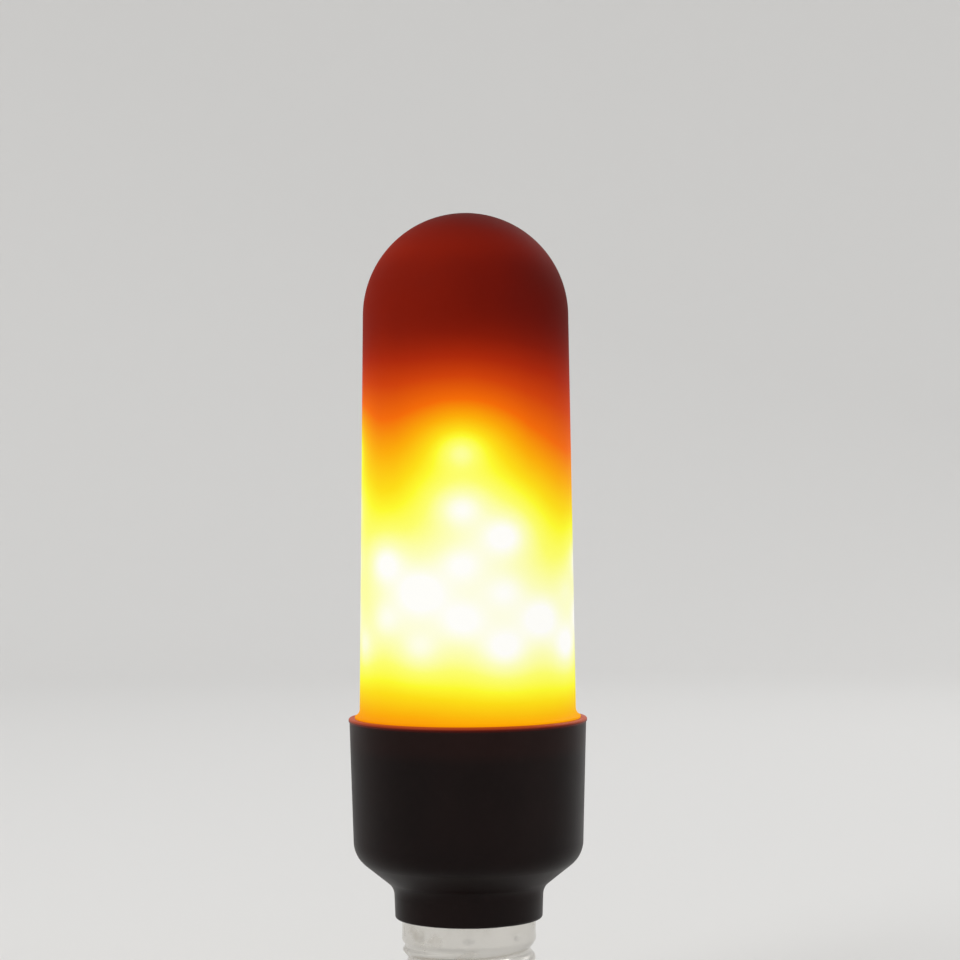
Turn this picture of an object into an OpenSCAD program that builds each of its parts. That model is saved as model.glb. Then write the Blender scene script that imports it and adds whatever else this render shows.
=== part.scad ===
// Flame effect LED bulb with a screw cap, in millimetres.
// The origin is the tip of the centre contact, and +Z runs along the axis to the diffuser's round end.
// The bulb's front, which faces -Y, carries the lattice of LEDs as it shows through the diffuser.

/* [Overall] */
// Height of the cap, from the contact's tip to the housing's neck
cap_h = 26; // [25:0.5:30]
// Height of the housing, from its neck to its rim
housing_h = 39.5; // [38:0.5:50]
// Height of the diffuser above the housing's rim
globe_h = 99.5; // [92:0.5:130]

/* [Diffuser] */
// Part of the housing's rim left bare round the diffuser's foot
rim_margin = 1.25; // [1:0.05:1.5]
// Draft of the diffuser's wall, in degrees
globe_draft = 0.76; // [0.4:0.02:1]
// Wall of the diffuser
globe_wall = 1.4; // [1:0.1:2]
// Height of the flared foot
foot_h = 1.6; // [1:0.1:2]
// Reach of the flared foot beyond the wall
foot_reach = 0.95; // [0.6:0.05:1.1]
// Depth of the collar in the housing's mouth
collar_depth = 7.6; // [6:0.1:10]
// Depth of the snap bead below the rim
bead_depth = 4; // [2:0.1:5]
// How far the snap bead stands out of the collar
bead_h = 0.35; // [0.2:0.05:0.5]

/* [Housing] */
// Diameter of the housing's lip
lip_d = 47.1; // [46.6:0.1:52]
// Height of the lip
lip_h = 0.8; // [0.5:0.1:2]
// How far the lip stands out of the wall
lip_reach = 0.15; // [0.1:0.05:0.3]
// Draft of the housing's wall, in degrees
housing_draft = 1.65; // [1:0.05:2]
// Wall of the housing
housing_wall = 2.2; // [1.8:0.1:2.6]
// Height of the shoulder's corner above the neck's end
shoulder_h = 12.4; // [11.8:0.1:14]
// Slope of the shoulder from the axis, in degrees
shoulder_slope = 51.3; // [48:0.1:56]
// Radius of the shoulder's round
shoulder_round = 5.8; // [3:0.1:8]
// Radius of the hollow between shoulder and neck
neck_round = 3.2; // [2:0.1:4]
// Diameter of the neck's end
neck_d = 29.1; // [28.4:0.1:31]
// Draft of the neck, in degrees
neck_draft = 2; // [1:0.1:3]
// Room between the cap's insulator and the end of the spigot that the cap is staked on
spigot_gap = 3.6; // [2.6:0.1:4.6]
// Wall of the spigot
spigot_wall = 1.7; // [1.2:0.1:2]
// Radial room round the diffuser's collar
mouth_gap = 0.15; // [0.1:0.05:0.3]

/* [Screw cap] */
// Diameter over the thread's crests
crest_d = 26.2; // [26.05:0.05:26.45]
// Depth of the thread
thread_depth = 1.05; // [0.9:0.05:1.1]
// Pitch of the thread
thread_pitch = 3.629; // [3.5:0.001:3.7]
// Diameter of the plain collar above the thread
collar_d = 26.5; // [26.5:0.1:27]
// Height of the plain collar
collar_h = 4; // [3:0.1:5]
// Thickness of the shell's sheet
shell_t = 0.3; // [0.25:0.05:0.35]
// Height of the shell's turned-in lip above the contact's tip
lip_z = 5.6; // [5:0.1:7]
// Radius of the bend of that lip
lip_bend = 1.6; // [1.2:0.1:2]
// Diameter of the hole in the shell's end
lip_hole_d = 19; // [18:0.1:20]
// Diameter of the contact's head
contact_d = 9; // [8:0.1:9.8]
// Thickness of the contact's head
contact_t = 1.2; // [1:0.1:1.5]
// Diameter of the contact's hollow shank
shank_d = 3; // [2.6:0.1:4]

/* [LED column] */
// Least height left free between the last row's board and the diffuser's end
column_top_room = 21; // [19:0.5:24]
// LEDs in each row
leds_per_row = 8; // [6:1:8]
// Distance between rows
row_pitch = 5.3; // [5:0.1:5.6]
// Height of the first row above the rim
first_row = 14.8; // [12:0.1:18]
// Turn of the first row's first LED from the front, in degrees
first_turn = 20; // [0:0.5:45]
// Outside diameter of the former
former_d = 28; // [27:0.1:29]
// Wall of the former
former_wall = 1.2; // [1:0.1:2]
// Thickness of the flexible board
flex_t = 0.22; // [0.15:0.01:0.3]
// Bare board beyond the first and last rows
flex_margin = 3.4; // [2.6:0.1:4]
// Width of the board's seam
seam_w = 1; // [0.6:0.1:1.5]
// Width of the board's tail
tail_w = 9; // [8:0.5:11]
// Width of an LED, round the column
led_w = 2.8; // [2:0.1:3]
// Length of an LED, along the column
led_l = 3.5; // [3:0.1:4]
// Thickness of an LED
led_t = 0.8; // [0.6:0.1:1]
// Number of LEDs on the column's end
top_count = 3; // [3:1:5]
// Radius of their circle
top_ring_r = 7; // [5:0.1:9]
// Thickness of the round board
top_board_t = 1; // [0.8:0.1:1.6]

/* [Base plate] */
// Thickness of the plate
plate_t = 1.8; // [1.6:0.1:2.4]
// Height of the ring that centres the former
plate_ring_h = 5; // [3:0.5:10]
// Wall of that ring
plate_ring_wall = 1.4; // [1:0.1:2]
// Shank diameter of a screw
screw_d = 2.2; // [1.8:0.1:2.4]
// Head diameter of a screw
screw_head_d = 4.2; // [3.8:0.1:4.4]
// Length of a screw
screw_len = 8; // [6:0.5:9]
// Plate left outside a screw's head
plate_edge = 0.45; // [0.35:0.05:0.6]
// Diameter of the housing's screw posts
post_d = 6; // [5.8:0.1:6.6]

/* [Driver] */
// Room between the board's upper part and the housing's inner wall
board_side_gap = 1.5; // [1:0.1:2]
// Width of the board's tail
board_tail_w = 17; // [16:0.5:18]
// Thickness of the board
board_t = 1.2; // [1:0.1:1.6]
// Height of the board's lower end above the spigot's end
board_rise = 2; // [1:0.5:3]
// Thickness of each rail that holds the board
rail_t = 1.4; // [1:0.1:2]
// How far the rails reach over the board's edges
rail_grip = 1.5; // [1:0.1:2]
// Diameter of the input capacitor
input_cap_d = 8; // [6:0.5:9]
// Room between the input capacitor's end and the housing's inner wall
input_cap_gap = 1; // [0.8:0.1:3]
// Diameter of the output capacitor
output_cap_d = 6.3; // [5:0.1:7]
// Height of the output capacitor
output_cap_h = 9; // [7:0.5:12]
// Diameter of the insulated leads
lead_d = 1.2; // [0.9:0.1:1.4]
// Diameter of the leads' bare core
core_d = 0.7; // [0.5:0.05:0.8]

/* [Hidden] */
$fn = 96;

// Running clearance of pieces that are pushed together, and the hair's breadth under soldered parts
fit_gap = 0.1;
solder_gap = 0.05;
// Room between the faces that rest on each other in the cap
seat_gap = 0.02;
// How far a cutting shape passes the surface that it cuts
over = 1;

// Room between the diffuser's collar and the base plate
plate_gap = 0.3;

// Heights along the axis
neck_z = cap_h;
rim_z = cap_h + housing_h;
top_z = rim_z + globe_h;
plate_z = rim_z - collar_depth - plate_gap;
seat_z = plate_z - plate_t;
collar_z = cap_h - collar_h;

// The diffuser's drafted wall runs tangent into its round end
globe_d = lip_d - 2 * (rim_margin + foot_reach);
foot_r = globe_d / 2;
dome_r = (foot_r * cos(globe_draft) - globe_h * sin(globe_draft)) / (1 - sin(globe_draft));
dome_z = top_z - dome_r;
foot_edge_t = 0.2;
bead_r = 0.45;

// The housing's mouth, wall and shoulder
lip_r = lip_d / 2;
lip_edge_round = 0.35;
mouth_step = 0.35;
mouth_r = foot_r - mouth_step;
collar_out_r = mouth_r - mouth_gap;
shoulder_z = neck_z + shoulder_h;
neck_r = neck_d / 2;
neck_edge_round = 0.5;
function wall_r(z) = lip_r - lip_reach - (rim_z - z) * tan(housing_draft);
function inner_wall_r(z) = wall_r(z) - housing_wall / cos(housing_draft);
shoulder = [wall_r(shoulder_z), shoulder_z];
down_slope = [-sin(shoulder_slope), -cos(shoulder_slope)];
neck_corner = meeting(shoulder, down_slope, [neck_r, neck_z], [tan(neck_draft), 1]);
inner_slope_start = shoulder + housing_wall * [-cos(shoulder_slope), sin(shoulder_slope)];
inner_shoulder = meeting(inner_slope_start, down_slope, [inner_wall_r(rim_z), rim_z],
    [sin(housing_draft), cos(housing_draft)]);
neck_bore_r = neck_r - housing_wall;
inner_neck = meeting(inner_slope_start, down_slope, [neck_bore_r, neck_z], [0, 1]);

// The cap's shell and what fits inside it
crest_r = crest_d / 2;
root_r = crest_r - thread_depth;
collar_r = collar_d / 2;
spigot_top_r = collar_r - shell_t - fit_gap;
spigot_r = root_r - shell_t - fit_gap;
spigot_bore_r = spigot_r - spigot_wall;
lip_hole_r = lip_hole_d / 2;
thread_z = lip_z + lip_bend;
insulator_rise = 2.8;
insulator_top_z = lip_z + insulator_rise;
spigot_z = insulator_top_z + spigot_gap;
spigot_len = neck_z - spigot_z;
thread_facets = 44;
shell_lap = 0.25;

// The LED column
former_r = former_d / 2;
wrap_gap = 0.03;
flex_in_r = former_r + wrap_gap;
flex_r = flex_in_r + flex_t;
row_turn = 360 / leds_per_row;
led_rows = floor((globe_h - first_row - flex_margin - column_top_room) / row_pitch) + 1;
led_z = rim_z + first_row;
flex_z = led_z - flex_margin;
flex_top_z = led_z + (led_rows - 1) * row_pitch + flex_margin;
tail_rise = 3;
tail_z = plate_z + tail_rise;
tail_side = 90;
tail_half = asin(tail_w / 2 / flex_r);
seam_steps = 8.5;
seam_side = -90 + first_turn + seam_steps * row_turn / 2;

// The plate's screws stand in posts that grow from the housing's shoulder, clear of the ribbon and the rails
plate_r = mouth_r - mouth_gap;
post_ring_r = plate_r - screw_head_d / 2 - plate_edge;
screw_head_t = (screw_head_d - screw_d) / 2;
screw_room = 0.04;
screw_sides = [60, 240];

// The driver board stands in the XZ plane, and its two faces look along +Y and -Y
board_top_gap = 1;
shoulder_gap = 1.5;
board_top_z = seat_z - board_top_gap;
board_low_z = spigot_z + board_rise;
board_wide_z = inner_shoulder[1] + shoulder_gap;
board_w = 2 * (inner_wall_r(board_wide_z) - board_side_gap);
rail_r = board_w / 2 - rail_grip;
rail_depth = inner_wall_r(seat_z) - rail_r;
board_tail_top_z = inner_neck[1];
board_mid_z = (board_top_z + board_wide_z) / 2;
tail_mid_z = (board_tail_top_z + board_low_z) / 2;
face_y = board_t / 2;
slot_h = 3;

// Sizes of the driver's small parts: width, depth from the board and height, or diameter and length
socket_size = [11, 5, 6];
film_cap_size = [9, 5, 7];
choke_size = [7.5, 6.5];
bridge_size = [4.7, 2.4, 3.9];
driver_chip_size = [4.9, 1.5, 3.9];
controller_size = [9.9, 1.5, 3.9];
transistor_size = [2.9, 1, 1.3];
resistor_size = [2, 0.6, 1.25];
tilt_size = [4.7, 9];
fuse_size = [3, 8];
tilt_pin_apart = 2.5;
tilt_pin_drop = 0.9;
pin_d = 0.6;
pin_end = 0.8;
pin_bend = 0.45;
ribbon_size = [8, 0.9];
ribbon_bend = 2.5;
bridge_legs = 4;
driver_chip_legs = 8;
controller_legs = 14;
transistor_gap = [4, 3];
resistor_gap = [2.3, 2];

// Where the driver's parts sit: x, and height on the board. The capacitors flank the socket
cap_margin = 1.5;
function beside_socket(d) = socket_size[0] / 2 + cap_margin + d / 2;
input_cap_at = [-beside_socket(input_cap_d), board_mid_z];
output_cap_at = [beside_socket(output_cap_d), board_mid_z];
film_cap_at = [-2.5, board_top_z - 3.8];
socket_at = [0, board_mid_z - 1.5];
tilt_at = [5.2, board_mid_z - 0.9];
controller_at = [-2.6, board_wide_z + 1.8];
transistors_at = [0, board_wide_z - 2.1];
driver_chip_at = [0, board_tail_top_z + 1.7];
choke_at = [0, board_tail_top_z - 4];
resistors_at = [board_tail_w / 2 - 2.4, tail_mid_z];
fuse_at = [2.9 - board_tail_w / 2, board_low_z + 7];
bridge_at = [0, board_low_z + 6.3];

// The input capacitor is as long as the round housing lets it stand at its outer side
input_cap_reach = inner_wall_r(board_mid_z) - input_cap_gap;
input_cap_side = beside_socket(input_cap_d) + input_cap_d / 2;
input_cap_h = sqrt(pow(input_cap_reach, 2) - pow(input_cap_side, 2)) - face_y - solder_gap;

// Crossing of the line through p along d with the line through q along e
function meeting(p, d, q, e) = p + d * cross(q - p, e) / cross(d, e);

// Unit vector along v
function unit(v) = v / norm(v);

// How much a bend of radius r takes off each leg at corner i of a path
function trim(path, i, r) =
    let (u = unit(path[i - 1] - path[i]), v = unit(path[i + 1] - path[i]))
    r / tan(acos(u * v) / 2);

// Smooth step from 0 to 1 as x goes from a to b
function ease(x, a, b) =
    let (t = min(1, max(0, (x - a) / (b - a)))) t * t * (3 - 2 * t);

// What a round of radius r changes at corner q between p and s: a cut outside, or a fill in a hollow
module corner_patch(p, q, s, r) {
    u = unit(p - q);
    v = unit(s - q);
    half = acos(u * v) / 2;
    centre = q + unit(u + v) * r / sin(half);
    past = 0.3;
    difference() {
        polygon([q - (u + v) * past, q + u * r / tan(half), centre, q + v * r / tan(half)]);
        translate(centre) circle(r);
    }
}

// Keeps the half of a section that rotate_extrude may turn
module right_half() {
    intersection() {
        children();
        translate([0, -over]) square([lip_d, top_z + 2 * over]);
    }
}

// Sweeps its child section along a flat path with round bends. The section's x lies across the path's plane
module bent(path, bend) {
    last = len(path) - 1;
    for (i = [0 : last - 1]) {
        leg = path[i + 1] - path[i];
        start = i == 0 ? 0 : trim(path, i, bend);
        end = i == last - 1 ? 0 : trim(path, i + 1, bend);
        translate(path[i]) rotate(atan2(leg.y, leg.x)) translate([start, 0, 0]) rotate([0, 90, 0])
            linear_extrude(norm(leg) - start - end) children();
    }
    for (i = [1 : last - 1]) {
        u = unit(path[i] - path[i - 1]);
        v = unit(path[i + 1] - path[i]);
        side = sign(cross(u, v));
        turn = acos(u * v);
        heading = atan2(u.y, u.x);
        centre = path[i] - u * trim(path, i, bend) + side * bend * [-u.y, u.x];
        translate(centre) rotate(side > 0 ? heading - 90 : heading + 90 - turn)
            rotate_extrude(angle = turn) translate([bend, 0]) rotate(90) children();
    }
}

// Stands a flat path on the driver board's centre line: its x becomes Y and its y becomes Z
module upright(x) {
    translate([x, 0, 0]) rotate([90, 0, 90]) children();
}

// Places a part on the board's face: side 1 looks along +Y, side -1 along -Y
module on_board(at, side) {
    translate([at.x, side * (face_y + solder_gap), at.y]) rotate([0, 0, side > 0 ? 0 : 180]) children();
}

// Chip package whose flat back lies on the board, with its legs along two sides
module chip(size, legs) {
    pitch = 1.27;
    lift = 0.15;
    leg = [0.42, 0.2, 0.9];
    knee = [leg.x, size.y / 2, 0.3];
    translate([-size.x / 2, lift, -size.z / 2]) cube([size.x, size.y - lift, size.z]);
    for (i = [0 : legs / 2 - 1], side = [-1, 1]) {
        x = (i - (legs / 2 - 1) / 2) * pitch;
        translate([x - leg.x / 2, 0, side * (size.z + leg.z) / 2 - leg.z / 2]) cube(leg);
        translate([x - knee.x / 2, 0, side * (size.z + leg.y) / 2 - knee.z / 2]) cube(knee);
    }
}

// Two straight pins that pass through the board
module pins(apart) {
    for (side = [-1, 1])
        translate([side * apart / 2, 0, 0]) rotate([90, 0, 0])
            cylinder(d = pin_d, h = board_t + solder_gap + pin_end, $fn = 24);
}

// Can capacitor that stands out of the board, with a rolled groove near its foot and a scored end
module can_capacitor(d, h) {
    groove_z = 1.6;
    groove_r = 0.35;
    score = [0.6 * d, 0.25, 0.3];
    rotate([-90, 0, 0]) difference() {
        cylinder(d = d, h = h);
        translate([0, 0, groove_z]) rotate_extrude()
            translate([(d + groove_r) / 2, 0]) circle(groove_r, $fn = 32);
        for (turn = [0, 60, 120]) translate([0, 0, h]) rotate(turn) cube(score, center = true);
    }
    pins(can_pins(d));
}

// Distance between the pins of each kind of part
function can_pins(d) = 0.4 * d;
function film_pins() = film_cap_size.x - 2;
function choke_pins() = 0.5 * choke_size[0];
function fuse_pins() = fuse_size[1] + 2;

// Outline of the drafted tube and its round end above the rim, moved in by inset
module diffuser_section(inset) {
    r = dome_r - inset;
    right_half() translate([0, dome_z]) circle(r);
    polygon([
        [0, rim_z], [foot_r - inset / cos(globe_draft), rim_z],
        [r * cos(globe_draft), dome_z + r * sin(globe_draft)], [0, dome_z + r * sin(globe_draft)]
    ]);
}

// Flare that rests on the housing's rim, hollowed by a quarter round
module diffuser_foot() {
    difference() {
        translate([0, rim_z]) square([foot_r + foot_reach, foot_h + foot_edge_t]);
        translate([foot_r + foot_h, rim_z + foot_h + foot_edge_t]) circle(foot_h, $fn = 64);
    }
}

// Collar that snaps into the housing's mouth
module diffuser_collar() {
    translate([0, rim_z - collar_depth]) square([collar_out_r, collar_depth + over]);
    translate([collar_out_r + bead_h - bead_r, rim_z - bead_depth]) circle(bead_r, $fn = 48);
}

module diffuser() {
    color([0.95, 0.45, 0.1])
    rotate_extrude() difference() {
        union() {
            diffuser_section(0);
            diffuser_foot();
            diffuser_collar();
        }
        diffuser_section(globe_wall);
        translate([0, rim_z - collar_depth - over])
            square([collar_out_r - globe_wall, collar_depth + 2 * over]);
    }
}

// Outside of the housing, with its lip, rounded shoulder and hollow neck
module housing_outside() {
    neck_end = [neck_r, neck_z];
    lip_low = [wall_r(rim_z - lip_h), rim_z - lip_h];
    lip_top = [lip_r, rim_z];
    difference() {
        union() {
            polygon([
                [0, neck_z], neck_end, neck_corner, shoulder, lip_low,
                [lip_r, rim_z - lip_h + lip_reach], lip_top, [0, rim_z]
            ]);
            corner_patch(neck_end, neck_corner, shoulder, neck_round);
        }
        corner_patch(neck_corner, shoulder, lip_low, shoulder_round);
        corner_patch([lip_r, rim_z - lip_h], lip_top, [0, rim_z], lip_edge_round);
        corner_patch([0, neck_z], neck_end, neck_corner, neck_edge_round);
    }
}

// Spigot that the cap's shell is pushed over and staked to
module spigot_outside() {
    translate([0, spigot_z]) square([spigot_r, spigot_len + over]);
    polygon([
        [0, collar_z + fit_gap], [spigot_r, collar_z + fit_gap],
        [spigot_top_r, collar_z + fit_gap + spigot_top_r - spigot_r],
        [spigot_top_r, neck_z + over], [0, neck_z + over]
    ]);
}

// Room inside the housing, with the groove for the diffuser's snap bead
module housing_inside() {
    polygon([
        [0, spigot_z - over], [spigot_bore_r, spigot_z - over], [spigot_bore_r, neck_z],
        [neck_bore_r, neck_z + neck_bore_r - spigot_bore_r], inner_neck, inner_shoulder,
        [inner_wall_r(seat_z), seat_z], [mouth_r, seat_z], [mouth_r, rim_z + over], [0, rim_z + over]
    ]);
    translate([collar_out_r + bead_h - bead_r, rim_z - bead_depth]) circle(bead_r + mouth_gap, $fn = 48);
}

// Rails and screw posts, which are left standing in the housing's inside
module rails() {
    reach = rail_depth + over;
    rail_top_gap = 2;
    for (side = [-1, 1], face = [-1, 1])
        translate([
            side * (rail_r + reach / 2) - reach / 2,
            face * (face_y + fit_gap + rail_t / 2) - rail_t / 2, neck_z
        ])
            cube([reach, rail_t, board_top_z - neck_z - rail_top_gap]);
}

module posts() {
    for (side = screw_sides)
        rotate(side) translate([post_ring_r, 0, neck_z]) cylinder(d = post_d, h = seat_z - neck_z);
}

module housing() {
    color([0.09, 0.06, 0.06])
    difference() {
        rotate_extrude() {
            housing_outside();
            spigot_outside();
        }
        difference() {
            rotate_extrude() housing_inside();
            rails();
            posts();
        }
        for (side = screw_sides)
            rotate(side) translate([post_ring_r, 0, plate_z - screw_len])
                cylinder(d = screw_d + screw_room, h = screw_len + over, $fn = 32);
    }
}

// Radius of the thread's sheet at height z and angle a, on its outside. The thread runs out below the
// collar, where the sheet flares until it meets the collar from inside
function thread_r(z, a) =
    let (
        run_in = ease(z, thread_z, thread_z + thread_pitch / 2),
        run_out = ease(z, collar_z - 0.6 * thread_pitch, collar_z - 0.1 * thread_pitch),
        flare = ease(z, collar_z - 0.5 * thread_pitch, collar_z),
        wave = 0.5 + 0.5 * cos(360 * z / thread_pitch - a)
    )
    root_r + thread_depth * run_in * (1 - run_out) * wave + (collar_r - root_r - solder_gap) * flare;

// One ring of points round the axis
function ring(z, inset) = [
    for (i = [0 : thread_facets - 1])
        let (a = 360 * i / thread_facets, r = thread_r(z, a) - inset) [r * cos(a), r * sin(a), z]
];
function flat_ring(r, z) = [
    for (i = [0 : thread_facets - 1]) let (a = 360 * i / thread_facets) [r * cos(a), r * sin(a), z]
];

// Rings of one skin, from the hole in the shell's end, round its bend and up the thread
function skin(inset, steps_per_turn) =
    let (
        bend_r = lip_bend - inset,
        centre = [root_r - lip_bend, thread_z],
        top = collar_z + shell_lap,
        steps = ceil((top - thread_z) / thread_pitch * steps_per_turn)
    )
    concat(
        [flat_ring(lip_hole_r, centre.y - bend_r)],
        [for (a = [-90 : 22.5 : -1]) flat_ring(centre.x + bend_r * cos(a), centre.y + bend_r * sin(a))],
        [for (i = [0 : steps]) ring(thread_z + (top - thread_z) * i / steps, inset)]
    );

// Closed skin through rings, the last of which joins the first
module ring_loft(rings) {
    n = len(rings[0]);
    m = len(rings);
    polyhedron(
        points = [for (r = rings) each r],
        faces = [
            for (j = [0 : m - 1], i = [0 : n - 1])
                let (
                    a = j * n + i, b = j * n + (i + 1) % n,
                    c = ((j + 1) % m) * n + i, d = ((j + 1) % m) * n + (i + 1) % n
                )
                each [[a, c, b], [b, c, d]]
        ]
    );
}

// Sheet-metal shell: a bent lip and a rolled thread as one skin, and a plain collar
module cap_shell() {
    outer = skin(0, 10);
    inner = skin(shell_t, 6);
    color([0.8, 0.78, 0.73]) {
        ring_loft(concat(outer, [for (i = [len(inner) - 1 : -1 : 0]) inner[i]]));
        translate([0, 0, collar_z]) difference() {
            cylinder(r = collar_r, h = collar_h);
            translate([0, 0, -over]) cylinder(r = collar_r - shell_t, h = collar_h + 2 * over);
        }
    }
}

// Moulded cone between the contact and the shell, with a flange that rests on the shell's lip
module cap_insulator() {
    wall = 1.5;
    bore = shank_d / 2 + seat_gap;
    tip = contact_d / 2 + 0.4;
    tip_z = contact_t + 0.6;
    neck = lip_hole_r - fit_gap;
    cone_z = lip_z - 0.3;
    flange_z = lip_z + shell_t + seat_gap;
    flange_r = root_r - shell_t - 0.5 * lip_bend;
    flange_round = 0.35;
    color([0.06, 0.06, 0.07])
    rotate_extrude() polygon([
        [bore, contact_t], [tip, contact_t], [tip, tip_z], [neck, cone_z], [neck, flange_z],
        [root_r - lip_bend, flange_z], [flange_r, flange_z + flange_round], [flange_r, insulator_top_z],
        [flange_r - wall, insulator_top_z], [neck - wall, cone_z + wall],
        [tip - wall, tip_z + wall], [bore, tip_z + wall]
    ]);
}

// Rivet with a low domed head and a hollow shank
module centre_contact() {
    edge_r = contact_d / 2;
    flat_r = edge_r - 1.5;
    bevel = 0.25;
    edge_t = 0.3;
    back_z = contact_t - seat_gap;
    shank_h = 3.2;
    shank_wall = 0.35;
    color([0.75, 0.6, 0.35])
    rotate_extrude() difference() {
        union() {
            polygon([
                [0, 0], [flat_r, 0], [edge_r - bevel, contact_t - edge_t - bevel],
                [edge_r, contact_t - edge_t], [edge_r, back_z], [0, back_z]
            ]);
            square([shank_d / 2, contact_t + shank_h]);
        }
        translate([0, contact_t - edge_t]) square([shank_d / 2 - shank_wall, shank_h + over]);
    }
}

// Disc with a ring for the former, countersunk holes for the screws and a slot for the ribbon
module base_plate() {
    ring_r = former_r - former_wall - fit_gap;
    slot_room = 0.4;
    slot = ribbon_size + 2 * slot_room * [1, 1];
    hair = 0.001;
    color([0.92, 0.92, 0.9])
    difference() {
        union() {
            translate([0, 0, seat_z]) cylinder(r = plate_r, h = plate_t);
            translate([0, 0, seat_z]) cylinder(r = ring_r, h = plate_t + plate_ring_h);
        }
        translate([0, 0, plate_z]) cylinder(r = ring_r - plate_ring_wall, h = plate_ring_h + over);
        translate([-slot.x / 2, ribbon_y() - slot.y / 2, seat_z - over])
            cube([slot.x, slot.y, plate_t + 2 * over]);
        for (side = screw_sides)
            rotate(side) translate([post_ring_r, 0, 0]) {
                translate([0, 0, seat_z - over])
                    cylinder(d = screw_d + fit_gap, h = plate_t + 2 * over, $fn = 32);
                translate([0, 0, plate_z - screw_head_t]) cylinder(
                    d1 = screw_d + fit_gap, d2 = screw_head_d + fit_gap, h = screw_head_t + hair, $fn = 48
                );
            }
    }
}

// Countersunk screw with a cross recess
module plate_screw() {
    recess = [0.6 * screw_head_d, 0.5, 1.4];
    color([0.6, 0.6, 0.62])
    difference() {
        union() {
            translate([0, 0, -screw_head_t])
                cylinder(d1 = screw_d, d2 = screw_head_d, h = screw_head_t, $fn = 48);
            translate([0, 0, fit_gap - screw_len])
                cylinder(d = screw_d, h = screw_len - screw_head_t, $fn = 32);
        }
        for (turn = [0, 90]) rotate(turn) cube(recess, center = true);
    }
}

module plate_screws() {
    for (side = screw_sides)
        rotate(side) translate([post_ring_r, 0, plate_z]) plate_screw();
}

// Plastic former of the column, which stands on the base plate
module core_tube() {
    color([0.93, 0.93, 0.92])
    translate([0, 0, plate_z]) difference() {
        cylinder(r = former_r, h = flex_top_z - plate_z);
        translate([0, 0, -over]) cylinder(r = former_r - former_wall, h = flex_top_z - plate_z + 2 * over);
    }
}

// Wedge between two angles, as a flat outline
module wedge(from, to, r) {
    mid = (from + to) / 2;
    reach = r / cos((to - from) / 4);
    polygon([[0, 0], for (a = [from, mid, to]) reach * [cos(a), sin(a)]]);
}

// Flexible board rolled round the former, open at its seam, with a tail down to the ribbon
module led_flex_board() {
    seam_half = asin(seam_w / 2 / flex_r);
    color([0.9, 0.88, 0.8])
    difference() {
        translate([0, 0, tail_z]) cylinder(r = flex_r, h = flex_top_z - tail_z);
        translate([0, 0, tail_z - over]) cylinder(r = flex_in_r, h = flex_top_z - tail_z + 2 * over);
        translate([0, 0, flex_z]) linear_extrude(flex_top_z - flex_z + over)
            wedge(seam_side - seam_half, seam_side + seam_half, flex_r + over);
        translate([0, 0, tail_z - over]) linear_extrude(flex_z - tail_z + over) difference() {
            circle(flex_r + over);
            wedge(tail_side - tail_half, tail_side + tail_half, flex_r + 2 * over);
        }
    }
}

// LED package that lies on the XY plane, with its round window
module led() {
    window_d = 0.78 * led_w;
    window_depth = 0.12;
    difference() {
        translate([-led_w / 2, -led_l / 2, 0]) cube([led_w, led_l, led_t]);
        translate([0, 0, led_t - window_depth]) cylinder(d = window_d, h = over, $fn = 32);
    }
}

// Turn of LED i in a row from the front, which faces -Y. Every other row is moved by half a step
function led_turn(row, i) = -90 + first_turn + (i + (row % 2) / 2) * row_turn;

module side_leds() {
    color([1, 0.85, 0.3])
    for (row = [0 : led_rows - 1], i = [0 : leds_per_row - 1])
        rotate(led_turn(row, i)) translate([flex_r + solder_gap, 0, led_z + row * row_pitch])
            rotate([90, 0, 90]) led();
}

module top_led_board() {
    color([0.9, 0.9, 0.86]) translate([0, 0, flex_top_z]) cylinder(r = flex_r, h = top_board_t);
}

module top_leds() {
    color([1, 0.85, 0.3])
    for (i = [0 : top_count - 1])
        rotate(-90 + i * 360 / top_count)
            translate([top_ring_r, 0, flex_top_z + top_board_t + solder_gap]) led();
}

// Two wire bridges over the edge of the round board, between two LEDs of the last row
module top_jumpers() {
    wire_d = 0.5;
    foot = 2.2;
    away = wire_d / 2 + solder_gap;
    above = flex_top_z + top_board_t + away;
    middle = led_turn(led_rows - 1, floor(leds_per_row / 4)) + row_turn / 2;
    color([0.8, 0.8, 0.82])
    for (side = [-1, 1])
        rotate(middle + side * row_turn / 9) rotate([90, 0, 0])
            bent([[flex_r + away, flex_top_z - foot], [flex_r + away, above], [flex_r - foot, above]], away)
                circle(d = wire_d, $fn = 24);
}

// Distance of the ribbon's middle from the axis where it passes the plate
function ribbon_y() = flex_r + ribbon_size[1] / 2 + solder_gap;

// Flat cable from the board's tail, through the plate and down into its socket
module led_ribbon() {
    lap = 3.5;
    plugged = 2;
    low = seat_z - ribbon_bend - ribbon_size[1];
    socket_y = face_y + socket_size.y / 2;
    end_z = socket_at.y + socket_size.z / 2 - plugged;
    color([0.55, 0.55, 0.58])
    upright(0)
        bent([[ribbon_y(), tail_z + lap], [ribbon_y(), low], [socket_y, low], [socket_y, end_z]], ribbon_bend)
            square(ribbon_size, center = true);
}

// Outline of the driver board, wide above the shoulder and narrow in the neck
module board_outline() {
    polygon([
        [-board_w / 2, board_top_z], [-board_w / 2, board_wide_z], [-board_tail_w / 2, board_tail_top_z],
        [-board_tail_w / 2, board_low_z], [board_tail_w / 2, board_low_z],
        [board_tail_w / 2, board_tail_top_z], [board_w / 2, board_wide_z], [board_w / 2, board_top_z]
    ]);
}

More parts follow.
